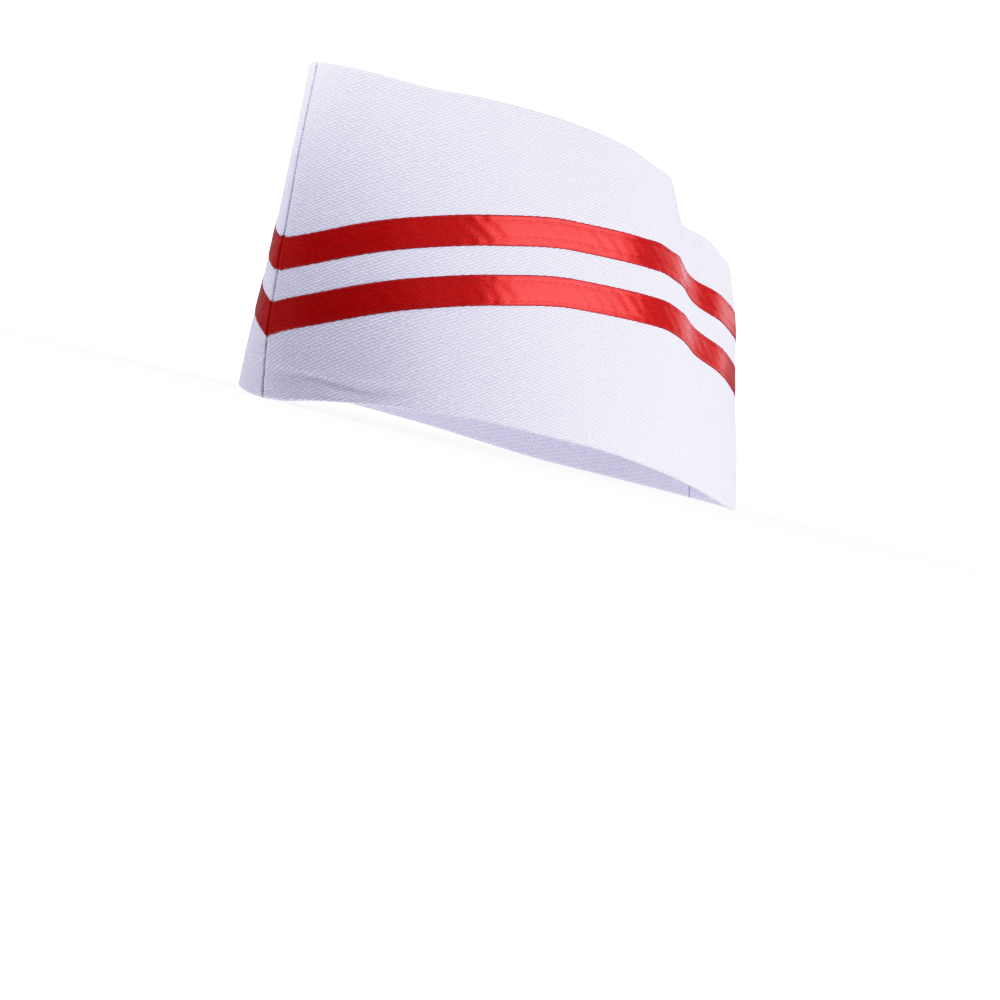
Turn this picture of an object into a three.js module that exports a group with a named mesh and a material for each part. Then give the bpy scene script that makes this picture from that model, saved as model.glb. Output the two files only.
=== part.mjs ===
// A boat-shaped chef's cap of white twill, standing on its hem.
//
// Two side panels meet in a seam at the centre front and another at the centre back. A crown
// is folded down between them like a trough, and two narrow satin ribbons are sewn flat round
// each panel. The ribbons of the two panels meet in a shallow V at the front seam.
//
// Frame, in millimetres: the cap stands on the plane Z = 0, with the origin under the middle of
// its whole length, the front seam at -Y, the wearer's left at +X and +Z up. The front leans
// out past the rim and the back leans in, so the rim's own centre is a little behind. The hem
// is cut straight and the sides lean in, so it rests at the front and back and rises between.

import * as THREE from 'three';

// Driving dimensions
const CLOTH = 2;
const RIBBON_WIDTH = 10.7;
const RIBBON_SPACE = 9.9;
const RIBBON_THICKNESS = 0.9;
const SEWN_GAP = 0.35;
const SEAM_GAP = 0.3;
const CROWN_GAP = 0.5;
const CROWN_DROP = 2;
const CROWN_THICKNESS = 1.7;
const CROWN_SAG_SHARE = 0.5;
const CROWN_END_ANGLE = 3;

// The wearer's right side as a share of the left: how deep its folds are and how far its hem
// rises
const RIGHT_FOLD_SHARE = 0.5;
const RIGHT_HEM_SHARE = 0.4;

// How finely the cloth is faceted, in degrees round the cap and in bands
const FOLD_COLUMN_STEP = 1.8;
const FOLD_ZONE = { from: 98, to: 160 };
const BANDS_UNDER_RIBBONS = 2;
const BANDS_OVER_RIBBONS = 3;
const CROWN_BANDS = 8;
const SLOPE_REACH = 2;
const LEAN_REACH = 30;

// Plan sections at heights above the rim: where the front and back seams lie along Y, half
// the width across, and how pointed the front half is (1 is an ellipse).
const SECTIONS = [
  { height: 0, front: -95.9, back: 106.1, halfWidth: 78.3, point: 1.05 },
  { height: 20, front: -99.7, back: 100.4, halfWidth: 75.6, point: 1.2 },
  { height: 42, front: -101.9, back: 94.4, halfWidth: 69.2, point: 1.28 },
  { height: 66, front: -103.6, back: 89.2, halfWidth: 60.4, point: 1.3 },
  { height: 86, front: -105.1, back: 82.1, halfWidth: 52.8, point: 1.27 },
  { height: 118, front: -106.2, back: 67.1, halfWidth: 41.2, point: 1.05 },
];

// Edges of a side panel by the angle round the cap, 0 at the front seam and 180 at the back:
// the heights of its hem, of the lower edge of its lower ribbon and of its top edge.
const EDGES = [
  { angle: 0, hem: 0, ribbonFoot: 20.6, topEdge: 116.5 },
  { angle: 8, hem: 0.7, ribbonFoot: 23.5, topEdge: 115.3 },
  { angle: 20, hem: 3.5, ribbonFoot: 28.4, topEdge: 115.4 },
  { angle: 45, hem: 8.7, ribbonFoot: 41.4, topEdge: 114.9 },
  { angle: 62, hem: 10.5, ribbonFoot: 49, topEdge: 116.7 },
  { angle: 80, hem: 10.4, ribbonFoot: 54.7, topEdge: 117.6 },
  { angle: 103, hem: 7.3, ribbonFoot: 56.4, topEdge: 115.2 },
  { angle: 112, hem: 5.2, ribbonFoot: 54.2, topEdge: 112.6 },
  { angle: 120, hem: 3.1, ribbonFoot: 50.4, topEdge: 110.8 },
  { angle: 128, hem: 1.1, ribbonFoot: 47.8, topEdge: 96.7 },
  { angle: 136, hem: 0, ribbonFoot: 45.2, topEdge: 94.5 },
  { angle: 155, hem: 0, ribbonFoot: 39, topEdge: 86.4 },
  { angle: 180, hem: 0, ribbonFoot: 34, topEdge: 78 },
];

// Soft folds that run up a panel: the angle of each at the rim and at the top edge, its
// spread in degrees, and how far it stands out there (inward is negative).
const FOLDS = [
  { rimAngle: 102, topAngle: 98, spread: 11, rimDepth: 0, topDepth: 2.2 },
  { rimAngle: 111, topAngle: 128.5, spread: 6.8, rimDepth: -0.4, topDepth: -5.8 },
  { rimAngle: 148, topAngle: 152, spread: 7, rimDepth: 0, topDepth: 2.6 },
];

const TWILL = { color: 0xeceaf5, roughness: 0.85, metalness: 0 };
const SATIN = { color: 0xd01c18, roughness: 0.42, metalness: 0 };

// A smooth curve through one column of a table that never overshoots its rows: cubic pieces
// whose slope at a row is the harmonic mean of the slopes beside it, or 0 at a turning point.
function column(rows, key, name) {
  const x = rows.map((row) => row[key]);
  const y = rows.map((row) => row[name]);
  const rise = x.slice(1).map((right, i) => (y[i + 1] - y[i]) / (right - x[i]));
  const slope = x.map((_, i) => {
    if (i === 0) return rise[0];
    if (i === x.length - 1) return rise[i - 1];
    const product = rise[i - 1] * rise[i];
    return product <= 0 ? 0 : (2 * product) / (rise[i - 1] + rise[i]);
  });
  return (at) => {
    let i = 0;
    while (i < x.length - 2 && at > x[i + 1]) i += 1;
    const step = x[i + 1] - x[i];
    const t = THREE.MathUtils.clamp((at - x[i]) / step, 0, 1);
    const tt = t * t;
    const ttt = tt * t;
    return (2 * ttt - 3 * tt + 1) * y[i] + (ttt - 2 * tt + t) * step * slope[i]
      + (3 * tt - 2 * ttt) * y[i + 1] + (ttt - tt) * step * slope[i + 1];
  };
}

const frontAt = column(SECTIONS, 'height', 'front');
const backAt = column(SECTIONS, 'height', 'back');
const halfWidthAt = column(SECTIONS, 'height', 'halfWidth');
const pointAt = column(SECTIONS, 'height', 'point');
const hemAt = column(EDGES, 'angle', 'hem');
const ribbonFootAt = column(EDGES, 'angle', 'ribbonFoot');
const topEdgeAt = column(EDGES, 'angle', 'topEdge');

// How far the folds move the wall out at an angle and a share of the panel's height.
function foldDepth(angle, share) {
  return FOLDS.reduce((sum, fold) => {
    const middle = THREE.MathUtils.lerp(fold.rimAngle, fold.topAngle, share);
    const depth = THREE.MathUtils.lerp(fold.rimDepth, fold.topDepth, share);
    return sum + depth * Math.exp(-(((angle - middle) / fold.spread) ** 2));
  }, 0);
}

// A point of a side wall. side is 1 for the wearer's left and -1 for the right, and offset
// moves it out of the panel's outer face, or into the cloth where it is negative.
function wallPoint(side, angle, height, offset) {
  const turn = THREE.MathUtils.degToRad(angle);
  const middle = (frontAt(height) + backAt(height)) / 2;
  const halfLength = (backAt(height) - frontAt(height)) / 2;
  const halfWidth = halfWidthAt(height);
  const power = angle < 90 ? pointAt(height) : 1;
  const share = Math.min(height / topEdgeAt(angle), 1);
  const foldShare = side > 0 ? 1 : RIGHT_FOLD_SHARE;
  const out = new THREE.Vector2(Math.sin(turn) / halfWidth, -Math.cos(turn) / halfLength)
    .normalize().multiplyScalar(offset + foldShare * foldDepth(angle, share));
  const across = SEAM_GAP / 2 + halfWidth * Math.sin(turn) ** power + out.x;
  return new THREE.Vector3(side * across, middle - halfLength * Math.cos(turn) + out.y, height);
}

// A closed cloth wall between two grids of points of one size. The front grid's normals, with
// columns to the right and rows up, point out of the wall.
function clothWall(front, back, mirrored) {
  const lastColumn = front.length - 1;
  const lastRow = front[0].length - 1;
  const positions = [];
  const triangle = (a, b, c) => {
    for (const p of mirrored ? [a, c, b] : [a, b, c]) positions.push(p.x, p.y, p.z);
  };
  const quad = (a, b, c, d) => {
    triangle(a, b, c);
    triangle(a, c, d);
  };
  for (let i = 0; i < lastColumn; i += 1) {
    for (let j = 0; j < lastRow; j += 1) {
      quad(front[i][j], front[i + 1][j], front[i + 1][j + 1], front[i][j + 1]);
      quad(back[i][j], back[i][j + 1], back[i + 1][j + 1], back[i + 1][j]);
    }
  }
  const edge = (i, j, iNext, jNext) => {
    quad(front[i][j], back[i][j], back[iNext][jNext], front[iNext][jNext]);
  };
  for (let i = 0; i < lastColumn; i += 1) {
    edge(i, 0, i + 1, 0);
    edge(i + 1, lastRow, i, lastRow);
  }
  for (let j = 0; j < lastRow; j += 1) {
    edge(lastColumn, j, lastColumn, j + 1);
    edge(0, j + 1, 0, j);
  }
  const geometry = new THREE.BufferGeometry();
  geometry.setAttribute('position', new THREE.Float32BufferAttribute(positions, 3));
  geometry.computeVertexNormals();
  return geometry;
}

// The angles of the columns: even steps where the folds are, and twice as wide elsewhere.
function columnAngles(from, to) {
  const steps = Math.round(180 / FOLD_COLUMN_STEP);
  return Array.from({ length: steps + 1 }, (_, i) => i * FOLD_COLUMN_STEP).filter((angle, i) => {
    const inFolds = angle > FOLD_ZONE.from && angle < FOLD_ZONE.to;
    return angle >= from && angle <= to && (inFolds || i % 2 === 0);
  });
}

// Heights of the four ribbon edges at an angle, from the lowest up. The ribbons keep their
// width on the leaning wall, across their own slope, so they take more height where they climb
// and less where the wall leans. The slope is measured SLOPE_REACH degrees each way, and the
// lean over LEAN_REACH of height.
function ribbonEdges(angle) {
  const low = Math.max(angle - SLOPE_REACH, 0);
  const high = Math.min(angle + SLOPE_REACH, 180);
  const foot = ribbonFootAt(angle);
  const along = wallPoint(1, high, ribbonFootAt(high), 0)
    .sub(wallPoint(1, low, ribbonFootAt(low), 0));
  const up = wallPoint(1, angle, foot + LEAN_REACH, 0)
    .sub(wallPoint(1, angle, foot, 0)).divideScalar(LEAN_REACH);
  const stretch = along.length() / up.cross(along).length();
  const widths = [0, RIBBON_WIDTH, RIBBON_WIDTH + RIBBON_SPACE, 2 * RIBBON_WIDTH + RIBBON_SPACE];
  return widths.map((width) => foot + width * stretch);
}

// Row heights of a side panel: even bands under the ribbons, a band along each ribbon and the
// space between them, and even bands from there to the top edge.
function panelHeights(side, angle) {
  const edges = ribbonEdges(angle);
  const hem = hemAt(angle) * (side > 0 ? 1 : RIGHT_HEM_SHARE);
  const heights = [];
  for (let i = 0; i < BANDS_UNDER_RIBBONS; i += 1) {
    heights.push(THREE.MathUtils.lerp(hem, edges[0], i / BANDS_UNDER_RIBBONS));
  }
  heights.push(...edges);
  for (let i = 1; i <= BANDS_OVER_RIBBONS; i += 1) {
    heights.push(THREE.MathUtils.lerp(edges[3], topEdgeAt(angle), i / BANDS_OVER_RIBBONS));
  }
  return heights;
}

function wallGrid(side, angles, heightsAt, offset) {
  return angles.map((angle) => heightsAt(angle).map((z) => wallPoint(side, angle, z, offset)));
}

function sidePanel(side) {
  const angles = columnAngles(0, 180);
  const heightsAt = (angle) => panelHeights(side, angle);
  const outer = wallGrid(side, angles, heightsAt, 0);
  const inner = wallGrid(side, angles, heightsAt, -CLOTH);
  return clothWall(outer, inner, side < 0);
}

function ribbon(side, lowerEdge) {
  const angles = columnAngles(0, 180);
  const heightsAt = (angle) => ribbonEdges(angle).slice(lowerEdge, lowerEdge + 2);
  const outer = wallGrid(side, angles, heightsAt, SEWN_GAP + RIBBON_THICKNESS);
  const inner = wallGrid(side, angles, heightsAt, SEWN_GAP);
  return clothWall(outer, inner, side < 0);
}

// The crown hangs between the top edges of the panels in a round-bottomed trough.
function crown() {
  const angles = columnAngles(CROWN_END_ANGLE, 180 - CROWN_END_ANGLE);
  const grid = (lift) => angles.map((angle) => {
    const height = topEdgeAt(angle) - CROWN_DROP;
    const left = wallPoint(1, angle, height, -CLOTH - CROWN_GAP);
    const right = wallPoint(-1, angle, height, -CLOTH - CROWN_GAP);
    const sag = (CROWN_SAG_SHARE * (left.x - right.x)) / 2;
    return Array.from({ length: CROWN_BANDS + 1 }, (_, i) => {
      const share = i / CROWN_BANDS;
      const across = 2 * share - 1;
      return left.clone().lerp(right, share).setZ(height - sag * (1 - across ** 2) + lift);
    });
  });
  return clothWall(grid(0), grid(-CROWN_THICKNESS), false);
}

function piece(name, geometry, finish) {
  const mesh = new THREE.Mesh(geometry, new THREE.MeshStandardMaterial(finish));
  mesh.name = name;
  return mesh;
}

const cap = new THREE.Group();
for (const [sideName, side] of [['left', 1], ['right', -1]]) {
  cap.add(piece(`side_panel_${sideName}`, sidePanel(side), TWILL));
  cap.add(piece(`ribbon_lower_${sideName}`, ribbon(side, 0), SATIN));
  cap.add(piece(`ribbon_upper_${sideName}`, ribbon(side, 2), SATIN));
}
cap.add(piece('crown', crown(), TWILL));

export default cap;
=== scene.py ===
"""A boat-shaped chef's cap of white twill with two red satin ribbons, standing on its hem.

Shapes are worked out in millimetres and made in metres. The frame is the part's own: the cap
stands on the plane Z = 0, its front seam towards -Y and the wearer's left towards +X.
"""

import bpy
import numpy as np
from mathutils import Matrix, Vector


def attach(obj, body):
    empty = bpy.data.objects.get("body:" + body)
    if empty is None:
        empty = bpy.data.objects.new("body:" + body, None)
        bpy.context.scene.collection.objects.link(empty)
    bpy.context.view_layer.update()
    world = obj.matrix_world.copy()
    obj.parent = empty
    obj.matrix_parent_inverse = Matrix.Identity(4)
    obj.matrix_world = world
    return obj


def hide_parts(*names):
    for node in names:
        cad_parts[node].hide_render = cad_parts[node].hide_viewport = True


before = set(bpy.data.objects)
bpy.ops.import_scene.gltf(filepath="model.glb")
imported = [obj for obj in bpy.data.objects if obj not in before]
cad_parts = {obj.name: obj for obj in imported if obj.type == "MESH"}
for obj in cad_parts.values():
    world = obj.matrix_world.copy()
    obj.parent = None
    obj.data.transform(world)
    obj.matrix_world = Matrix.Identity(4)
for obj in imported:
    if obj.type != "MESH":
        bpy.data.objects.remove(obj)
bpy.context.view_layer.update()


# Side panels. Each is doubled white polyester-cotton twill, turned in at its edges and pressed.
# The two meet in a seam at the front and another at the back, lean in towards the top, and
# stand on their hems. The wearer's left one has a deep dent behind its high front part.

MM = 0.001
SIDES = (("left", 1), ("right", -1))
CLOTH_THICKNESS = 1.6
SEAM_GAP = 0.1
HEM_DEPTH = 7
TOP_STITCH_DEPTH = 6
RIBBON_WIDTH = 10.7
RIBBON_SPACE = 9.9

# The wearer's right side as a share of the left: how deep its folds are and how far its hem
# rises
RIGHT_FOLD_SHARE = 0.5
RIGHT_HEM_SHARE = 0.4

# Plan sections at heights above the table: where the front and back seams lie along Y, half
# the width across, and how pointed the front half is (1 is an ellipse)
SECTIONS = (
    ("height", "front", "back", "half_width", "point"),
    (0, -95.9, 106.1, 78.3, 1.05),
    (20, -99.7, 100.4, 75.6, 1.2),
    (42, -101.9, 94.4, 69.2, 1.28),
    (66, -103.6, 89.2, 60.4, 1.3),
    (86, -105.1, 82.1, 52.8, 1.27),
    (118, -106.2, 67.1, 41.2, 1.05),
)

# Heights of a panel's edges by the angle round the cap, 0 at the front seam and 180 at the
# back: its hem, the lower edge of its lower ribbon, and its top edge
EDGES = (
    ("angle", "hem", "ribbon_foot", "top_edge"),
    (0, 0, 20.6, 116.5),
    (8, 0.7, 23.5, 115.3),
    (20, 3.5, 28.4, 115.4),
    (45, 8.7, 41.4, 114.9),
    (62, 10.5, 49, 116.7),
    (80, 10.4, 54.7, 117.6),
    (103, 7.3, 56.4, 115.2),
    (112, 5.2, 54.2, 112.6),
    (120, 3.1, 50.4, 110.8),
    (128, 1.1, 47.8, 96.7),
    (136, 0, 45.2, 94.5),
    (155, 0, 39, 86.4),
    (180, 0, 34, 78),
)

# Soft folds that run up a panel: the angle of each at the rim and at the top edge, its spread
# in degrees, and how far it stands out there (inward is negative)
FOLDS = (
    ("rim_angle", "top_angle", "spread", "rim_depth", "top_depth"),
    (102, 98, 11, 0, 2.2),
    (111, 128.5, 6.8, -0.4, -5.8),
    (148, 152, 7, 0, 2.6),
)

# A crease pressed into the left panel just above its hem: its height and depth by the angle
HEM_CREASE = (
    ("angle", "height", "depth"),
    (0, 12, 0),
    (6, 11.5, 0.25),
    (20, 12, 0.7),
    (31, 11.5, 0.75),
    (45, 14, 0),
    (98, 9, 0),
    (104, 8.2, 0.3),
    (132, 9.2, 0.3),
    (138, 9.5, 0),
)


def column(table, name):
    """A smooth curve through one column of a table, read by the table's first column. Between
    rows it is a cubic whose slope at a row is the harmonic mean of the rises beside it, or 0
    at a turning point, so it never overshoots a row."""
    names, *rows = table
    rows = np.array(rows, float)
    x, y = rows[:, 0], rows[:, names.index(name)]
    rise = np.diff(y) / np.diff(x)
    product = rise[:-1] * rise[1:]
    turning = product <= 0
    mean = np.where(turning, 0, 2 * product / np.where(turning, 1, rise[:-1] + rise[1:]))
    slope = np.concatenate((rise[:1], mean, rise[-1:]))

    def curve(at):
        i = np.clip(np.searchsorted(x, at, side="right") - 1, 0, len(x) - 2)
        step = x[i + 1] - x[i]
        t = np.clip((at - x[i]) / step, 0, 1)
        rising = t * t * (3 - 2 * t)
        bend = t * (1 - t) * step * ((1 - t) * slope[i] - t * slope[i + 1])
        return (1 - rising) * y[i] + rising * y[i + 1] + bend

    return curve


front_at = column(SECTIONS, "front")
back_at = column(SECTIONS, "back")
half_width_at = column(SECTIONS, "half_width")
point_at = column(SECTIONS, "point")
left_hem_at = column(EDGES, "hem")
ribbon_foot_at = column(EDGES, "ribbon_foot")
top_edge_at = column(EDGES, "top_edge")
crease_height_at = column(HEM_CREASE, "height")
crease_depth_at = column(HEM_CREASE, "depth")


def hem_of(side, angle):
    """Height of a side's hem: the left one's, or on the right a share of it."""
    return left_hem_at(angle) * (1 if side > 0 else RIGHT_HEM_SHARE)


def bell(distance, reach):
    """1 on a line, dying away to both sides of it as a bell curve."""
    return np.exp(-((distance / reach) ** 2))


def step_down(distance, reach):
    """1 well before a line and 0 well past it, as a logistic curve."""
    return 1 / (1 + np.exp(distance / reach))


def round_over(distance, radius):
    """The share of half a wall's thickness that is left near its edge, as a quarter circle."""
    return np.sqrt(1 - (1 - np.clip(distance / radius, 0, 1)) ** 2)


def fold_depth(angle, share):
    """How far the folds move a wall out at an angle and a share of its height: a bell curve
    for each fold, whose middle and depth change evenly from the rim to the top edge."""
    total = 0
    for rim_angle, top_angle, spread, rim_depth, top_depth in FOLDS[1:]:
        middle = rim_angle + (top_angle - rim_angle) * share
        depth = rim_depth + (top_depth - rim_depth) * share
        total = total + depth * bell(angle - middle, spread)
    return total


def wall(side, angle, height, out):
    """Points of a side wall, moved out of its plain outer face by out. The plan at a height is
    half an ellipse, with its front quarter narrowed by a power of the sine, and the folds and
    out move it along the ellipse's own normal. side is 1 on the wearer's left, -1 on the right."""
    turn = np.radians(angle)
    front, back = front_at(height), back_at(height)
    half_length, half_width = (back - front) / 2, half_width_at(height)
    power = np.where(angle < 90, point_at(height), 1)
    share = np.minimum(height / top_edge_at(angle), 1)
    normal = np.stack((np.sin(turn) / half_width, -np.cos(turn) / half_length))
    normal /= np.linalg.norm(normal, axis=0)
    push = out + (1 if side > 0 else RIGHT_FOLD_SHARE) * fold_depth(angle, share)
    across = SEAM_GAP / 2 + half_width * np.sin(turn).clip(0) ** power + push * normal[0]
    along = (front + back) / 2 - half_length * np.cos(turn) + push * normal[1]
    return np.stack((side * across, along, height + 0 * along), -1)


def length_round(side, angle, height):
    """How far each point of a grid lies from the front seam, along its own row."""
    points = wall(side, angle, height, 0)[..., :2]
    steps = np.linalg.norm(np.diff(points, axis=0), axis=-1)
    return np.concatenate((np.zeros_like(steps[:1]), np.cumsum(steps, axis=0)))


# The wall's slope beside a ribbon is measured over this many degrees to each side and this
# many millimetres up
SLOPE_REACH = 2
LEAN_REACH = 30


def ribbon_edges(angle):
    """Heights of the four ribbon edges, from the lowest up. The ribbons keep their width on
    the leaning wall, across their own slope: the height is the width times the length of a
    step along the ribbon, over the area that the step spans with one step up the wall."""
    low = np.maximum(angle - SLOPE_REACH, 0)
    high = np.minimum(angle + SLOPE_REACH, 180)
    foot = ribbon_foot_at(angle)
    along = wall(1, high, ribbon_foot_at(high), 0) - wall(1, low, ribbon_foot_at(low), 0)
    up = (wall(1, angle, foot + LEAN_REACH, 0) - wall(1, angle, foot, 0)) / LEAN_REACH
    stretch = np.linalg.norm(along, axis=-1) / np.linalg.norm(np.cross(up, along), axis=-1)
    second = RIBBON_WIDTH + RIBBON_SPACE
    widths = np.array((0, RIBBON_WIDTH, second, second + RIBBON_WIDTH))
    return foot + widths.reshape(4, *[1] * np.ndim(angle)) * stretch


# Slow waves left by folding: the depth of each, how far round and how far up the cap it runs
# in one radian, and how far its start differs between the two sides
SLOW_WAVES = ((0.16, 9.5, 21, 1), (0.14, 15, -13, 0))

# Layers of cloth inside: how much the hem stands out and the seam allowances stand in, and how
# softly each steps down at its edge
HEM_LAYER = 0.1
HEM_STEP = 0.6
SEAM_ALLOWANCE = 8
ALLOWANCE_LAYER = 0.5
ALLOWANCE_STEP = 0.3

# The crease over the hem is a small roll with a wider hollow under it: where each lies from
# the crease's line, its reach, and its share of the crease's depth
CREASE_PARTS = ((1.2, 1.6, 1), (-1.6, 2, -1.3))

# Puckers beside each kind of sewing: their depth, their spacing, and how far they reach
TOP_PUCKERS = (0.05, 4.2, 4)
SEAM_PUCKERS = (0.08, 5, 7)
RIBBON_PUCKERS = (0.05, 5.3, 3)

# The two waves of a row of puckers: the share of each, and how many times the row's spacing
# and start it has
PUCKER_WAVES = ((0.6, 1, 1), (0.4, 1.37, 2))

GROOVE_DEPTH = 0.07
GROOVE_REACH = 0.8
FLAT_BY_SEAM = 3
LIP_HEIGHT = 0.16
LIP_FROM_SEAM = 1.7
LIP_REACH = 0.8


def puckers(length, spacing, start):
    """An uneven row of small ripples, as sewing leaves: two waves near one spacing that drift
    in and out of step."""
    turns = 2 * np.pi * length
    return sum(
        share * np.sin(turns / (times * spacing) + shift * start) for share, times, shift in PUCKER_WAVES
    )


def sewn(values, along, start, away):
    """Puckers along a line of sewing, which die away from it as a bell curve."""
    depth, spacing, reach = values
    return depth * puckers(along, spacing, start) * bell(away, reach)


def relief(side, length, angle, height):
    """How far the outer face of a panel stands off its plain shape: slow waves left by
    folding, a hem that is one layer thicker, on the left a crease over it, a shallow stitched
    groove under the top edge, a lip beside the front seam, and puckers that die away from the
    front seam, the top edge and each ribbon's edges."""
    under_top = top_edge_at(angle) - height - TOP_STITCH_DEPTH
    out = HEM_LAYER * step_down(height - hem_of(side, angle) - HEM_DEPTH, HEM_STEP)
    for depth, run, rise, start in SLOW_WAVES:
        wave_out = depth * np.sin(length / run + height / rise + start * side)
        out = out + wave_out * (1 - bell(length, FLAT_BY_SEAM))
    if side > 0:
        over_crease = height - crease_height_at(angle)
        for middle, reach, share in CREASE_PARTS:
            out = out + share * crease_depth_at(angle) * bell(over_crease - middle, reach)
    out = out - GROOVE_DEPTH * bell(under_top, GROOVE_REACH)
    out = out + LIP_HEIGHT * bell(length - LIP_FROM_SEAM, LIP_REACH)
    out = out + sewn(TOP_PUCKERS, length, 1, under_top) + sewn(SEAM_PUCKERS, height, side, length)
    for i, edge in enumerate(ribbon_edges(angle)):
        out = out + sewn(RIBBON_PUCKERS, length, i, height - edge)
    return out


def eased(count):
    """Shares from 0 to 1, crowded towards both ends as the cosine is."""
    return (1 - np.cos(np.linspace(0, np.pi, count + 1))) / 2


def rows_between(edges, counts):
    """Row heights that pass through each of the edges, crowded towards them, with the given
    number of rows in each space between two edges."""
    rows = [edges[0][:, None]]
    for low, high, count in zip(edges[:-1], edges[1:], counts):
        rows.append(low[:, None] + (high - low)[:, None] * eased(count)[1:])
    return np.concatenate(rows, axis=1)


def link(made):
    """Puts a new object into the scene."""
    bpy.context.scene.collection.objects.link(made)
    return made


def make_piece(name, points, faces, flat, material):
    """A smooth mesh object from arrays, in millimetres, with a UV map of its flat cloth."""
    mesh = bpy.data.meshes.new(name)
    mesh.vertices.add(len(points))
    mesh.vertices.foreach_set("co", (points * MM).ravel())
    mesh.loops.add(faces.size)
    mesh.loops.foreach_set("vertex_index", faces.ravel())
    mesh.polygons.add(len(faces))
    mesh.polygons.foreach_set("loop_start", np.arange(0, faces.size, faces.shape[1]))
    mesh.uv_layers.new(name="Cloth").uv.foreach_set("vector", flat[faces.ravel()].ravel())
    mesh.update(calc_edges=True)
    mesh.validate()
    mesh.polygons.foreach_set("use_smooth", np.ones(len(faces), bool))
    mesh.materials.append(material)
    return link(bpy.data.objects.new(name, mesh))


def make_cloth(name, face, back, flat, mirrored, material):
    """A closed piece of cloth between two grids whose borders meet. With columns to the right
    and rows up, the face grid is seen from outside, or from inside where it is mirrored."""
    columns, rows = face.shape[:2]
    front_index = np.arange(columns * rows).reshape(columns, rows)
    inner = np.zeros((columns, rows), bool)
    inner[1:-1, 1:-1] = True
    back_index = front_index.copy()
    back_index[inner] = columns * rows + np.arange(inner.sum())

    def quads(index, turned):
        """The faces between neighbouring columns and rows of a grid, turned over if asked."""
        corners = [index[:-1, :-1], index[1:, :-1], index[1:, 1:], index[:-1, 1:]]
        return np.stack(corners[::-1] if turned else corners, -1).reshape(-1, 4)

    faces = np.concatenate((quads(front_index, mirrored), quads(back_index, not mirrored)))
    points = np.concatenate((face.reshape(-1, 3), back[inner]))
    flats = np.concatenate((flat.reshape(-1, 2), flat[inner]))
    return make_piece(name, points, faces, flats, material)


def colour(code):
    """An sRGB hex colour as linear red, green, blue and alpha."""
    parts = np.array([int(code[i:i + 2], 16) for i in (1, 3, 5)]) / 255
    linear = np.where(parts <= 0.04045, parts / 12.92, ((parts + 0.055) / 1.055) ** 2.4)
    return (*linear.tolist(), 1)


def node(tree, kind, inputs=(), **settings):
    """Adds a shader node with its settings, and gives its inputs, by name or number, a value
    or another node's output."""
    made = tree.nodes.new("ShaderNode" + kind)
    for name, value in settings.items():
        setattr(made, name, value)
    for name, value in dict(inputs).items():
        if isinstance(value, bpy.types.NodeSocket):
            tree.links.new(value, made.inputs[name])
        else:
            made.inputs[name].default_value = value
    return made


def new_material(name):
    """A material with an empty node tree and its output node."""
    material = bpy.data.materials.new(name)
    material.use_nodes = True
    material.node_tree.nodes.clear()
    return material, material.node_tree, node(material.node_tree, "OutputMaterial")


def wave(tree, flat, spacing, slope):
    """Straight ribs on the flat cloth, from 0 in the grooves to 1 on the ribs: the sine of
    the distance across them. slope is their angle in degrees above the flat cloth's U."""
    turn = np.radians(slope)
    across = (-np.sin(turn), np.cos(turn), 0)
    steps = [2 * np.pi / spacing * part for part in across]
    phase = node(tree, "VectorMath", {0: flat, 1: steps}, operation="DOT_PRODUCT")
    swing = node(tree, "Math", {0: phase.outputs["Value"]}, operation="SINE")
    return node(tree, "Math", {0: swing.outputs[0], 1: 0.5, 2: 0.5}, operation="MULTIPLY_ADD").outputs[0]


# Twill: polyester-cotton, woven over two and under one so that fine ribs climb across it,
# broken into uneven floats by a shallower set of lines. Its thread is matt and slightly bluish
# white; the grooves between the ribs have painted shade, and cloth that turns down into a seam
# is painted grey as shade.
RIB_SPACING = 0.9
RIB_SLOPE = 29.5
RIB_RELIEF = 0.18
RIB_DRIFT = 1.2
FLOAT_SPACING = 1.5
FLOAT_SLOPE = -18
FLUFF_SHARE = 0.8
THREAD_WHITE = "#F8F7FF"
GROOVE_PAINTED_SHADE = "#CFCEE2"
SEAM_SHADE_GREY = "#5C5B66"

twill, tree, output = new_material("white_polycotton_twill")
flat = node(tree, "TexCoord").outputs["UV"]
drift = node(tree, "TexNoise", {"Vector": flat, "Scale": 0.5, "Detail": 4, "Roughness": 0.6})
centred = node(
    tree, "VectorMath", {0: drift.outputs["Color"], 1: (0.5, 0.5, 0.5)}, operation="SUBTRACT"
).outputs[0]
drifted = node(
    tree, "VectorMath", {0: centred, 1: (RIB_DRIFT, RIB_DRIFT, 0), 2: flat}, operation="MULTIPLY_ADD"
).outputs[0]
ribs = wave(tree, drifted, RIB_SPACING, RIB_SLOPE)
floats = wave(tree, drifted, FLOAT_SPACING, FLOAT_SLOPE)
breaks = node(tree, "Math", {0: floats, 1: 0.5, 2: 0.5}, operation="MULTIPLY_ADD").outputs[0]
even_weave = node(tree, "Math", {0: ribs, 1: breaks}, operation="MULTIPLY").outputs[0]
patches = node(tree, "TexNoise", {"Vector": flat, "Scale": 0.7, "Detail": 3, "Roughness": 0.7})
looseness = node(tree, "MapRange", {
    "Value": patches.outputs["Fac"], "From Min": 0.3, "From Max": 0.7, "To Min": 0.3, "To Max": 1.3,
}).outputs[0]
weave = node(tree, "Math", {0: even_weave, 1: looseness}, operation="MULTIPLY").outputs[0]
fluff = node(tree, "TexNoise", {"Vector": flat, "Scale": 1.6, "Detail": 3}).outputs["Fac"]
surface = node(tree, "Math", {0: fluff, 1: FLUFF_SHARE, 2: weave}, operation="MULTIPLY_ADD").outputs[0]
bump = node(tree, "Bump", {"Strength": 1, "Distance": RIB_RELIEF * MM, "Height": surface})
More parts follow.
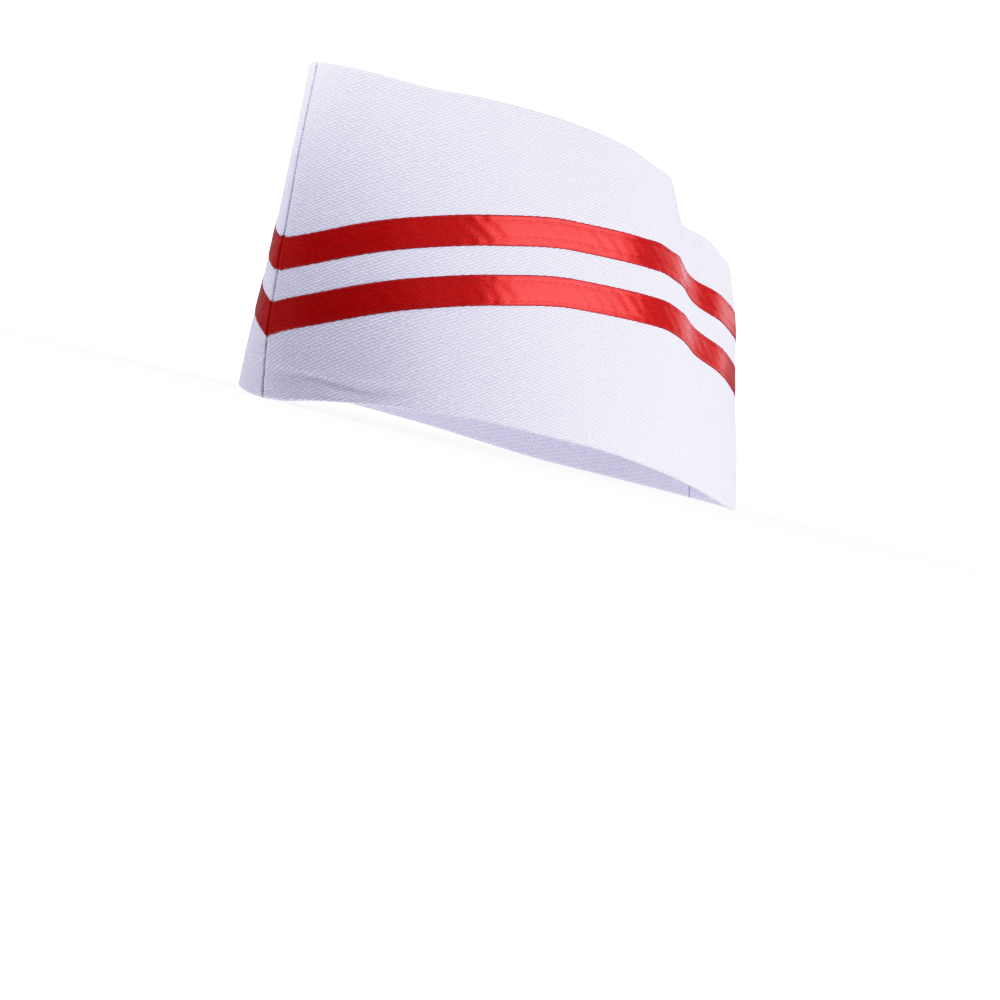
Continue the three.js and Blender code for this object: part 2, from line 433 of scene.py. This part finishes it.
# The grooves between the ribs get a darker colour: painted shade.
raised = node(tree, "MapRange", {"Value": weave, "From Min": 0, "From Max": 0.7}).outputs[0]
thread = node(
    tree, "Mix", {"Factor": raised, 6: colour(GROOVE_PAINTED_SHADE), 7: colour(THREAD_WHITE)}, data_type="RGBA"
).outputs[2]
# Where the cloth turns down into a seam, its seam_shade attribute mixes it towards grey: painted shade.
in_seam = node(tree, "Attribute", attribute_name="seam_shade").outputs["Fac"]
seam_shaded_cloth = node(
    tree, "Mix", {"Factor": in_seam, 6: thread, 7: colour(SEAM_SHADE_GREY)}, data_type="RGBA"
).outputs[2]
shader = node(tree, "BsdfPrincipled", {
    "Base Color": seam_shaded_cloth,
    "Roughness": 0.85,
    "Specular IOR Level": 0.3,
    "Sheen Weight": 0.12,
    "Sheen Roughness": 0.5,
    "Normal": bump.outputs[0],
})
tree.links.new(shader.outputs[0], output.inputs["Surface"])

# Columns of the panels and ribbons in degrees, crowded at the two seams
SEAM_STEPS = np.array((0, 0.35, 0.7, 1.05, 1.4, 1.8, 2.3))
BACK_STEP_SHARE = 0.6
OPEN_STRETCH = np.linspace(3, 177, 290)
angles = np.concatenate((SEAM_STEPS, OPEN_STRETCH, 180 - BACK_STEP_SHARE * SEAM_STEPS[::-1]))

# Numbers of rows between a panel's marks, from its hem to its top edge
PANEL_ROWS = (14, 20, 12, 12, 12, 26, 14)
EDGE_RADIUS = 0.8
SEAM_RADIUS = 0.65
SEAM_TUCK = 1.2
CORNER_DROP = 1.2
CORNER_REACH = 4
WEAVE_START_ANGLE = 62


def panel_heights(side):
    """Row heights of a panel: rows crowded at its hem, hem line, ribbon edges, top stitching
    and top edge."""
    hem = hem_of(side, angles)
    top = top_edge_at(angles) - CORNER_DROP * bell(angles, CORNER_REACH)
    marks = [hem, hem + HEM_DEPTH, *ribbon_edges(angles), top - TOP_STITCH_DEPTH, top]
    return rows_between(marks, PANEL_ROWS)


def make_panel(name, side):
    """A doubled wall with rounded edges, whose two ends turn in as quarter circles and meet
    the other panel's in the seams. Its attribute seam_shade grows from 0 to 1 where it turns."""
    heights = panel_heights(side)
    around = np.broadcast_to(angles[:, None], heights.shape)
    length = length_round(side, around, heights)
    from_seam = np.minimum(length, length[-1] - length)
    half = CLOTH_THICKNESS / 2
    by_seam = round_over(from_seam, SEAM_RADIUS)
    left_over = np.minimum.reduce([
        round_over(heights - heights[:, :1], EDGE_RADIUS),
        round_over(heights[:, -1:] - heights, EDGE_RADIUS),
        by_seam,
    ])
    tuck = half + SEAM_TUCK * (1 - by_seam)
    allowance = ALLOWANCE_LAYER * step_down(from_seam - SEAM_ALLOWANCE, ALLOWANCE_STEP)
    face = wall(side, around, heights, (half + relief(side, length, around, heights)) * left_over - tuck)
    back = wall(side, around, heights, -(half + allowance) * left_over - tuck)
    start = np.array([np.interp(WEAVE_START_ANGLE, angles, row) for row in length.T])
    cloth = np.stack((side * (length - start), heights), -1)
    made = make_cloth(name, face, back, cloth, side < 0, twill)
    shade = 1 - by_seam
    both_faces = np.concatenate((shade.ravel(), shade[1:-1, 1:-1].ravel()))
    made.data.attributes.new("seam_shade", "FLOAT", "POINT").data.foreach_set("value", both_faces)
    return made


for side_name, side in SIDES:
    panel = make_panel(f"twill_panel_{side_name}", side)
    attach(panel, "root")
    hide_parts(f"side_panel_{side_name}")


# Crown. One lens-shaped piece of the same twill, sewn inside the top edges of the panels and
# folded down between them, with a soft crease along its middle from pressing.

CROWN_THICKNESS = 1.2
CROWN_DROP = 2
CROWN_SAG_SHARE = 0.5
CROWN_EDGE_INSET = 1.75
CROWN_EDGE_RADIUS = 0.6
CROWN_END_ANGLE = 3
CROWN_COLUMNS = 240
CROWN_ROWS = 64
PRESSED_CREASE_DEPTH = 0.9
PRESSED_CREASE_REACH = 2.2
CROWN_WAVE_DEPTH = 0.3
CROWN_WAVE_RUN = 8
CROWN_WAVE_SLANT = 2

# How much longer the sagging cloth is than the straight way across
CROWN_FULLNESS = 1.15


def make_crown():
    """Rows run straight across from wall to wall and sag by a parabola, with a narrow crease
    in the middle and slow waves along it."""
    around = np.linspace(CROWN_END_ANGLE, 180 - CROWN_END_ANGLE, CROWN_COLUMNS)
    height = top_edge_at(around) - CROWN_DROP
    left = wall(1, around, height, -CROWN_EDGE_INSET)
    right = wall(-1, around, height, -CROWN_EDGE_INSET)
    share = eased(CROWN_ROWS)
    line = left[:, None] + (right - left)[:, None] * share[:, None]
    half_width = (left[:, 0] - right[:, 0])[:, None] / 2
    across = 2 * share - 1
    ridge = line[:, CROWN_ROWS // 2]
    steps = np.linalg.norm(np.diff(ridge, axis=0, prepend=ridge[:1]), axis=-1)
    length = np.cumsum(steps)[:, None]
    sag = CROWN_SAG_SHARE * half_width * (1 - across**2)
    crease = PRESSED_CREASE_DEPTH * bell(half_width * across, PRESSED_CREASE_REACH)
    slant = length / CROWN_WAVE_RUN + CROWN_WAVE_SLANT * across
    waves = CROWN_WAVE_DEPTH * np.sin(slant) * (1 - across**2)
    half = CROWN_THICKNESS / 2
    from_wall = half_width * (1 - np.abs(across))
    from_end = np.minimum(length, length[-1] - length)
    left_over = round_over(np.minimum(from_wall, from_end), CROWN_EDGE_RADIUS)
    middle = line[..., 2] - sag - crease - half + waves
    face = np.concatenate((line[..., :2], (middle + half * left_over)[..., None]), -1)
    back = np.concatenate((line[..., :2], (middle - half * left_over)[..., None]), -1)
    cloth = np.stack((length + 0 * across, -half_width * across * CROWN_FULLNESS), -1)
    return make_cloth("twill_crown", face, back, cloth, False, twill)


crown = make_crown()
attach(crown, "root")
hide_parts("crown")


# Ribbons. Two narrow red polyester satin ribbons lie flat round each panel and are caught in
# its front and back seams. Each is sewn down with a row of stitches near either edge.

RIBBON_THICKNESS = 0.2
RIBBON_LIFT = 0.02
RIBBON_EDGE_RADIUS = 0.15
RIBBON_ROWS = 22
WOBBLE_DEPTH = 0.09
WOBBLE_SPACING = 2.6
CHANNEL_DEPTH = 0.08
CHANNEL_REACH = 0.5
SWELL_HEIGHT = 0.06
SWELL_SPACING = 6
SWELL_SLANT = 0.9

# Each ribbon's lower edge, counted from the lowest of the four ribbon edges, and how far up
# the ribbon its two rows of stitches run
RIBBONS = (("lower", 0), ("upper", 2))
STITCH_ROWS = {0: (1.6, 8.6), 2: (3.3, 9)}

# Satin: polyester filament woven in long floats that run along the ribbon, so it shines in a
# band that is short along the ribbon and tall across it. Diagonal lines and darker streaks of
# the weave cross it, some threads are brighter or glossier, and its selvedges are dull and dark.
SATIN_RED = "#E61010"
STREAK_RED = "#A80A0B"
FLECK_RED = "#FF1812"
SELVEDGE_RED = "#9A0A10"
SELVEDGE = 0.45
SELVEDGE_DULLNESS = 0.6
SATIN_LINE_SPACING = 1
SATIN_LINE_SLOPE = -32
LINE_DARKENING = 0.25

# The noise is squeezed across the diagonal lines for streaks, and across the ribbon for threads
STREAK_SQUEEZE = (0.6, 3.4, 1)
THREAD_SQUEEZE = (1, 2.6, 1)

# The relief, and what each pattern adds to it. Pressing leaves the blotches.
SATIN_RELIEF = 0.035
LINE_SHARE = 0.3
THREAD_SHARE = 1.6
STREAK_SHARE = 0.6
BLOTCH_SHARE = 0.4

satin, tree, output = new_material("red_polyester_satin")
flat = node(tree, "TexCoord").outputs["UV"]
floats = wave(tree, flat, SATIN_LINE_SPACING, SATIN_LINE_SLOPE)
turned = node(tree, "Mapping", {"Vector": flat, "Rotation": (0, 0, np.radians(-SATIN_LINE_SLOPE))})
along_lines = node(
    tree, "VectorMath", {0: turned.outputs[0], 1: STREAK_SQUEEZE}, operation="MULTIPLY"
).outputs[0]
streaks = node(tree, "TexNoise", {"Vector": along_lines, "Scale": 0.8, "Detail": 3}).outputs["Fac"]
lengthwise = node(tree, "VectorMath", {0: flat, 1: THREAD_SQUEEZE}, operation="MULTIPLY").outputs[0]
threads = node(
    tree, "TexNoise", {"Vector": lengthwise, "Scale": 1, "Detail": 3, "Roughness": 0.7}
).outputs["Fac"]
blotches = node(tree, "TexNoise", {"Vector": flat, "Scale": 0.35, "Detail": 2}).outputs["Fac"]

satin_surface = node(tree, "Math", {0: floats, 1: LINE_SHARE}, operation="MULTIPLY").outputs[0]
for pattern, share in ((threads, THREAD_SHARE), (streaks, STREAK_SHARE), (blotches, BLOTCH_SHARE)):
    satin_surface = node(
        tree, "Math", {0: pattern, 1: share, 2: satin_surface}, operation="MULTIPLY_ADD"
    ).outputs[0]
bump = node(tree, "Bump", {"Strength": 1, "Distance": SATIN_RELIEF * MM, "Height": satin_surface})

ribbed = node(tree, "Math", {0: floats, 1: LINE_DARKENING, 2: streaks}, operation="MULTIPLY_ADD").outputs[0]
streak = node(tree, "MapRange", {"Value": ribbed, "From Min": 0.45, "From Max": 0.85}).outputs[0]
streaked_red = node(
    tree, "Mix", {"Factor": streak, 6: colour(SATIN_RED), 7: colour(STREAK_RED)}, data_type="RGBA"
).outputs[2]
fleck = node(tree, "MapRange", {"Value": threads, "From Min": 0.5, "From Max": 0.72}).outputs[0]
body_red = node(
    tree, "Mix", {"Factor": fleck, 6: streaked_red, 7: colour(FLECK_RED)}, data_type="RGBA"
).outputs[2]

width_up = node(tree, "SeparateXYZ", {0: flat}).outputs["Y"]
from_middle = node(tree, "Math", {0: width_up, 1: RIBBON_WIDTH / 2}, operation="SUBTRACT").outputs[0]
off_centre = node(tree, "Math", {0: from_middle}, operation="ABSOLUTE").outputs[0]
edge = node(tree, "MapRange", {
    "Value": off_centre,
    "From Min": RIBBON_WIDTH / 2 - 1.5 * SELVEDGE,
    "From Max": RIBBON_WIDTH / 2 - 0.5 * SELVEDGE,
}).outputs[0]
dyed = node(
    tree, "Mix", {"Factor": edge, 6: body_red, 7: colour(SELVEDGE_RED)}, data_type="RGBA"
).outputs[2]
gloss = node(tree, "MapRange", {
    "Value": threads, "From Min": 0.35, "From Max": 0.65, "To Min": 0.2, "To Max": 0.14,
}).outputs[0]
dullness = node(
    tree, "Math", {0: edge, 1: SELVEDGE_DULLNESS, 2: gloss}, operation="MULTIPLY_ADD"
).outputs[0]
tangent = node(tree, "Tangent", direction_type="UV_MAP", uv_map="Cloth")
shader = node(tree, "BsdfPrincipled", {
    "Base Color": dyed,
    "Metallic": 0.42,
    "IOR": 1.6,
    "Specular IOR Level": 0.42,
    "Specular Tint": (1, 0.95, 0.84, 1),
    "Roughness": dullness,
    "Anisotropic": 0.6,
    "Anisotropic Rotation": 0.25,
    "Tangent": tangent.outputs[0],
    "Normal": bump.outputs[0],
})
tree.links.new(shader.outputs[0], output.inputs["Surface"])


def ribbon_underside(side, low_edge, around, width):
    """Heights of points at a width up a ribbon, whose edges are slightly uneven, how far its
    underside stands off the panel's plain shape there, and each point's distance from the
    front seam. It lies lowest along its rows of stitches, and swells a little between them."""
    edges = ribbon_edges(around)
    share = width / RIBBON_WIDTH
    length = length_round(side, around, edges[low_edge])
    wobble = WOBBLE_DEPTH * puckers(length, WOBBLE_SPACING, low_edge) * (1 - 2 * share)
    up = edges[low_edge] + (edges[low_edge + 1] - edges[low_edge]) * share - wobble
    channels = sum(CHANNEL_DEPTH * bell(width - row, CHANNEL_REACH) for row in STITCH_ROWS[low_edge])
    loose = 1 + puckers(length + SWELL_SLANT * width, SWELL_SPACING, low_edge + side)
    swells = SWELL_HEIGHT * np.sin(np.pi * share) * loose
    return up, relief(side, length, around, up) + RIBBON_LIFT + swells - channels, length


def make_ribbon(name, side, low_edge):
    """A strip between two of the ribbon edges, tucked into the seams at its two ends."""
    width = RIBBON_WIDTH * np.broadcast_to(eased(RIBBON_ROWS), (len(angles), RIBBON_ROWS + 1))
    around = np.broadcast_to(angles[:, None], width.shape)
    up, out, length = ribbon_underside(side, low_edge, around, width)
    ends = np.minimum(length, length[-1] - length)
    sides = np.minimum(width, RIBBON_WIDTH - width)
    left_over = round_over(np.minimum(sides, ends), RIBBON_EDGE_RADIUS)
    out = out - (CLOTH_THICKNESS / 2 + SEAM_TUCK) * (1 - round_over(ends, SEAM_RADIUS))
    face = wall(side, around, up, out + RIBBON_THICKNESS * left_over)
    back = wall(side, around, up, out)
    return make_cloth(name, face, back, np.stack((side * length, width), -1), side < 0, satin)


for side_name, side in SIDES:
    for level, low_edge in RIBBONS:
        ribbon = make_ribbon(f"satin_{level}_{side_name}", side, low_edge)
        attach(ribbon, "root")
        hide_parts(f"ribbon_{level}_{side_name}")


# Stitches. Spun polyester thread, red along both edges of each ribbon, and white under the top
# edges and beside the front seam, which is stitched down on the wearer's right. Each stitch
# rises out of the cloth and dips back.

STITCH_SPACING = 2.9
STITCH_LENGTH = 2.3
STITCH_SINK = 0.1
STITCH_SHARES = np.array((-1, -0.6, 0, 0.6, 1))
STITCH_TAPER = 0.5
THREAD_RADIUS = 0.13
THREAD_CORNERS = np.radians((45, 135, 225, 315))
THREAD_PLY = 0.3
THREAD_TWIST = 40
THREAD_RELIEF = 0.04

# The front seam's row lies this far from the seam. Each row is followed in fine steps, this
# one of height and the others of angle.
SEAM_STITCH_REACH = 3.2
SEAM_STITCH_HEIGHTS = np.linspace(3, 113, 400)
NEAR_SEAM_ANGLES = np.linspace(0, 8, 81)
SEWN_ANGLES = np.linspace(0.3, 179.7, 1800)


def thread_material(name, light, dark):
    """Spun polyester sewing thread: two plies whose twist shows as slanting lines, with painted
    shade in the grooves between them.
    """
    material, tree, output = new_material(name)
    flat = node(tree, "TexCoord").outputs["UV"]
    plies = wave(tree, flat, THREAD_PLY, THREAD_TWIST)
    shade = node(tree, "Mix", {"Factor": plies, 6: colour(dark), 7: colour(light)}, data_type="RGBA")
    bump = node(tree, "Bump", {"Strength": 1, "Distance": THREAD_RELIEF * MM, "Height": plies})
    shader = node(tree, "BsdfPrincipled", {
        "Base Color": shade.outputs[2],
        "Roughness": 0.6,
        "Specular IOR Level": 0.2,
        "Normal": bump.outputs[0],
    })
    tree.links.new(shader.outputs[0], output.inputs["Surface"])
    return material


# The second colour of each thread is the painted shade in the grooves between its plies.
red_thread = thread_material("red_polyester_thread", "#B40C0E", "#7C080A")
white_thread = thread_material("white_polyester_thread", "#F0EFF8", "#D2D1E0")


def make_stitches(name, path, outward, material):
    """Stitches along a path. Each is a four-sided tube, thinner at its ends, whose middle line
    rises and dips as a parabola."""
    steps = np.linalg.norm(np.diff(path, axis=0), axis=-1)
    length = np.concatenate(((0,), np.cumsum(steps)))
    centres = np.arange(STITCH_SPACING, length[-1] - STITCH_SPACING, STITCH_SPACING)
    at = centres[:, None] + STITCH_LENGTH / 2 * STITCH_SHARES
    along = np.gradient(path, length, axis=0)
    along, out = (row / np.linalg.norm(row, axis=-1, keepdims=True) for row in (along, outward))
    across = np.cross(out, along)
    middle, out, across = (
        np.stack([np.interp(at, length, row[:, i]) for i in range(3)], -1) for row in (path, out, across)
    )
    rise = THREAD_RADIUS * (1 - STITCH_SHARES**2) - STITCH_SINK
    radius = THREAD_RADIUS * (1 - STITCH_TAPER * STITCH_SHARES**2)
    sideways = np.cos(THREAD_CORNERS)[:, None] * across[:, :, None]
    upwards = np.sin(THREAD_CORNERS)[:, None] * out[:, :, None]
    ring = radius[:, None, None] * (sideways + upwards)
    points = (middle + rise[:, None] * out)[:, :, None] + ring
    index = np.arange(points[..., 0].size).reshape(points.shape[:3])
    turned = np.roll(index, -1, axis=2)
    sides = np.stack((index[:, :-1], turned[:, :-1], turned[:, 1:], index[:, 1:]), -1)
    caps = np.stack((index[:, 0, ::-1], index[:, -1]), 1)
    faces = np.concatenate((sides.reshape(-1, 4), caps.reshape(-1, 4)))
    flat = np.stack(np.broadcast_arrays(at[..., None], THREAD_CORNERS * THREAD_RADIUS), -1)
    return make_piece(name, points.reshape(-1, 3), faces, flat.reshape(-1, 2), material)


def sewn_row(name, side, around, up, out, material):
    """A row of stitches at heights on a panel, standing off its plain shape by out."""
    path, lifted = (wall(side, around, up, out + lift) for lift in (0, 1))
    stitches = make_stitches(name, path, lifted - path, material)
    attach(stitches, "root")
    return stitches


def beside_seam(side, distance, height):
    """Angles of the points that lie at a distance from the front seam, at each height."""
    near = NEAR_SEAM_ANGLES[:, None] + 0 * height
    length = length_round(side, near, height + 0 * near)
    return np.array([np.interp(distance, row, NEAR_SEAM_ANGLES) for row in length.T])


up = SEAM_STITCH_HEIGHTS
beside = beside_seam(-1, SEAM_STITCH_REACH, up)
out = relief(-1, SEAM_STITCH_REACH + 0 * up, beside, up)
ribbon_feet = ribbon_edges(beside)
bare = [up < ribbon_feet[0], (up > ribbon_feet[1]) & (up < ribbon_feet[2]), up > ribbon_feet[3]]
for part, rows in enumerate(bare):
    name = f"seam_stitches_{part + 1}"
    sewn_row(name, -1, beside[rows], up[rows], out[rows], white_thread)

around = SEWN_ANGLES
for side_name, side in SIDES:
    for level, low_edge in RIBBONS:
        for row, width in enumerate(STITCH_ROWS[low_edge]):
            up, out, length = ribbon_underside(side, low_edge, around, width)
            name = f"stitches_{level}_{side_name}_{row + 1}"
            sewn_row(name, side, around, up, out + RIBBON_THICKNESS, red_thread)
    up = top_edge_at(around) - TOP_STITCH_DEPTH
    out = relief(side, length_round(side, around, up), around, up)
    sewn_row(f"top_stitches_{side_name}", side, around, up, out, white_thread)


# Camera. It stands at the photograph's angle round the cap, just above the table and looking
# slightly up, and is rolled as the photograph is.

CAMERA_AIM = (0, 5.1, 45.9)
CAMERA_TURN = 52.7
CAMERA_RISE = -1.8
CAMERA_ROLL = 13.8
CAMERA_DISTANCE = 991.4
CAMERA_LENS = 97.8
SENSOR_WIDTH = 36
NEAREST_SEEN = 50
PHOTO_WIDTH = 1000
AIM_PIXEL = (521.1, 329.0)


def direction(turn, rise):
    """The unit vector towards something seen at that turn round the cap and rise above it."""
    turn, rise = np.radians(turn), np.radians(rise)
    return Vector((np.sin(turn) * np.cos(rise), -np.cos(turn) * np.cos(rise), np.sin(rise)))


def facing(place, target, up=Vector((0, 0, 1))):
    """A matrix at place whose -Z looks at target, with its Y near up."""
    back = (place - target).normalized()
    right = up.cross(back).normalized()
    return Matrix.Translation(place) @ Matrix((right, back.cross(right), back)).transposed().to_4x4()


aim = Vector(CAMERA_AIM) * MM
camera = link(bpy.data.objects.new("camera", bpy.data.cameras.new("camera")))
camera.data.lens = CAMERA_LENS
camera.data.sensor_width = SENSOR_WIDTH
camera.data.clip_start = NEAREST_SEEN * MM
roll = Matrix.Rotation(np.radians(CAMERA_ROLL), 4, "Z")
level = facing(aim + direction(CAMERA_TURN, CAMERA_RISE) * CAMERA_DISTANCE * MM, aim)
pixels = PHOTO_WIDTH * CAMERA_LENS / SENSOR_WIDTH
to_aim = Vector(((AIM_PIXEL[0] - PHOTO_WIDTH / 2) / pixels, (PHOTO_WIDTH / 2 - AIM_PIXEL[1]) / pixels, -1))
turned = to_aim.rotation_difference(Vector((0, 0, -1))).to_matrix().to_4x4()
camera.matrix_world = level @ roll @ turned
bpy.context.scene.camera = camera


# Table and backdrop. The cap stands on white acrylic that is lit from below, as for a catalogue
# picture. Between the two distances of TABLE_FADE, in metres, the acrylic runs into the plain
# white of the backdrop.

TABLE_RADIUS = 2.5
TABLE_CORNERS = 96
TABLE_FADE = (0.13, 0.3)
TABLE_GLOW = 0.9
ACRYLIC_WHITE = "#ECECF0"
BACKDROP_RADIUS = 6
BACKDROP_GLOW = 2.3


def unseen(made):
    """Hides a stage piece from all rays but the camera's, so it gives the cap no light or
    shade."""
    for kind in ("diffuse", "glossy", "shadow"):
        setattr(made, f"visible_{kind}", False)


white_acrylic, tree, output = new_material("white_acrylic")
spot = node(tree, "TexCoord").outputs["Object"]
away = node(tree, "VectorMath", {0: spot}, operation="LENGTH").outputs["Value"]
fade = node(tree, "MapRange", {"Value": away, "From Min": TABLE_FADE[0], "From Max": TABLE_FADE[1]})
shader = node(tree, "BsdfPrincipled", {
    "Base Color": colour(ACRYLIC_WHITE),
    "Roughness": 0.9,
    "Specular IOR Level": 0,
    "Emission Color": colour("#FFFFFF"),
    "Emission Strength": TABLE_GLOW,
})
glow = node(tree, "Emission", {"Strength": BACKDROP_GLOW})
table_mix = node(tree, "MixShader", {0: fade.outputs[0], 1: shader.outputs[0], 2: glow.outputs[0]})
tree.links.new(table_mix.outputs[0], output.inputs["Surface"])

turn = np.linspace(0, 2 * np.pi, TABLE_CORNERS, endpoint=False)
points = np.stack((TABLE_RADIUS * np.cos(turn), TABLE_RADIUS * np.sin(turn), 0 * turn), -1)
disc = bpy.data.meshes.new("table")
disc.from_pydata(points.tolist(), [], [list(range(TABLE_CORNERS))])
disc.materials.append(white_acrylic)
table = link(bpy.data.objects.new("table", disc))
unseen(table)

backdrop_white, tree, output = new_material("backdrop_white")
glow = node(tree, "Emission", {"Strength": BACKDROP_GLOW})
tree.links.new(glow.outputs[0], output.inputs["Surface"])
bpy.ops.mesh.primitive_uv_sphere_add(segments=48, ring_count=24, radius=BACKDROP_RADIUS)
backdrop = bpy.context.object
backdrop.name = "backdrop"
backdrop.data.materials.append(backdrop_white)
unseen(backdrop)


# Lights. Two large soft ones to the right of the camera give the satin its bright stretch, and
# others stand at the left, the back and low on the far side. The front one hangs close above
# the front seam, so it falls off quickly down the cloth, and the last shines up the hollow.

# Each light's turn and rise as seen from the camera's aim, its distance, width and height in
# metres, its radiance, and its tint
LIGHTS = {
    "key_light": (107, 17, 1.1, 0.981, 1.17, 4.25, "#F4F2FF"),
    "low_key_light": (112, -25, 1.1, 0.846, 0.59, 4.8, "#F4F2FF"),
    "front_light": (2, 35, 0.23, 0.101, 0.102, 6.4, "#F4F2FF"),
    "left_light": (-100, 30, 1.1, 0.888, 0.801, 1.8, "#FFFFFF"),
    "back_light": (203, 30, 1.1, 1.1, 0.801, 0.8, "#F4F2FF"),
    "low_light": (-50, -52, 1.1, 0.948, 0.801, 6, "#F4F2FF"),
    "hollow_light": (0, -89, 0.045, 0.0755, 0.107, 0.5, "#FFFFFF"),
}


def soft_light(name, turn, rise, distance, width, height, radiance, tint):
    """A rectangle that faces the camera's aim. Its power is its radiance times pi times its
    area."""
    lamp = bpy.data.lights.new(name, "AREA")
    lamp.shape = "RECTANGLE"
    lamp.size = width
    lamp.size_y = height
    lamp.energy = radiance * np.pi * width * height
    lamp.color = colour(tint)[:3]
    made = link(bpy.data.objects.new(name, lamp))
    made.matrix_world = facing(aim + direction(turn, rise) * distance, aim)
    made.visible_camera = False


for name, values in LIGHTS.items():
    soft_light(name, *values)


# Room. It is dim, dimmer still below the table, and darkest in front, where a black cloth hangs
# so that the satin beside the front seam has nothing bright to mirror.

ROOM_WHITE = "#F0EEFF"
ROOM_GLOW = 0.24
FLOOR_GLOW = 0.1
FLOOR_FADE = 0.1
CLOTH_TURN = 15
CLOTH_RISE = 5
CLOTH_GLOW_SHARE = 0.08

# The cosines of the angles from the cloth's middle at which it starts to darken and is darkest
CLOTH_EDGE = (0.8, 0.9)

world = bpy.context.scene.world or bpy.data.worlds.new("room")
bpy.context.scene.world = world
world.use_nodes = True
tree = world.node_tree
tree.nodes.clear()
output = node(tree, "OutputWorld")
way = node(tree, "TexCoord").outputs["Generated"]
upward = node(tree, "SeparateXYZ", {0: way}).outputs["Z"]
level_glow = node(tree, "MapRange", {
    "Value": upward,
    "From Min": -FLOOR_FADE,
    "From Max": FLOOR_FADE,
    "To Min": FLOOR_GLOW,
    "To Max": ROOM_GLOW,
}).outputs[0]
towards_cloth = node(
    tree, "VectorMath", {0: way, 1: tuple(direction(CLOTH_TURN, CLOTH_RISE))}, operation="DOT_PRODUCT"
).outputs["Value"]
open_share = node(tree, "MapRange", {
    "Value": towards_cloth,
    "From Min": CLOTH_EDGE[0],
    "From Max": CLOTH_EDGE[1],
    "To Min": 1,
    "To Max": CLOTH_GLOW_SHARE,
}).outputs[0]
strength = node(tree, "Math", {0: level_glow, 1: open_share}, operation="MULTIPLY").outputs[0]
room = node(tree, "Background", {"Color": colour(ROOM_WHITE), "Strength": strength})
tree.links.new(room.outputs[0], output.inputs["Surface"])


# The camera's response: brighter than half of white, tones are pressed together, as on film.
# The first of each pair is a share of the brightest tone, the second what it shows as.

BRIGHTEST = 2
RESPONSE = ((0.125, 0.25), (0.25, 0.5), (0.36, 0.7), (0.475, 0.84), (0.65, 0.94))

view = bpy.context.scene.view_settings
view.view_transform = "Standard"
view.use_curve_mapping = True
view.curve_mapping.white_level = (BRIGHTEST, BRIGHTEST, BRIGHTEST)
for point in RESPONSE:
    view.curve_mapping.curves[3].points.new(*point)
view.curve_mapping.update()
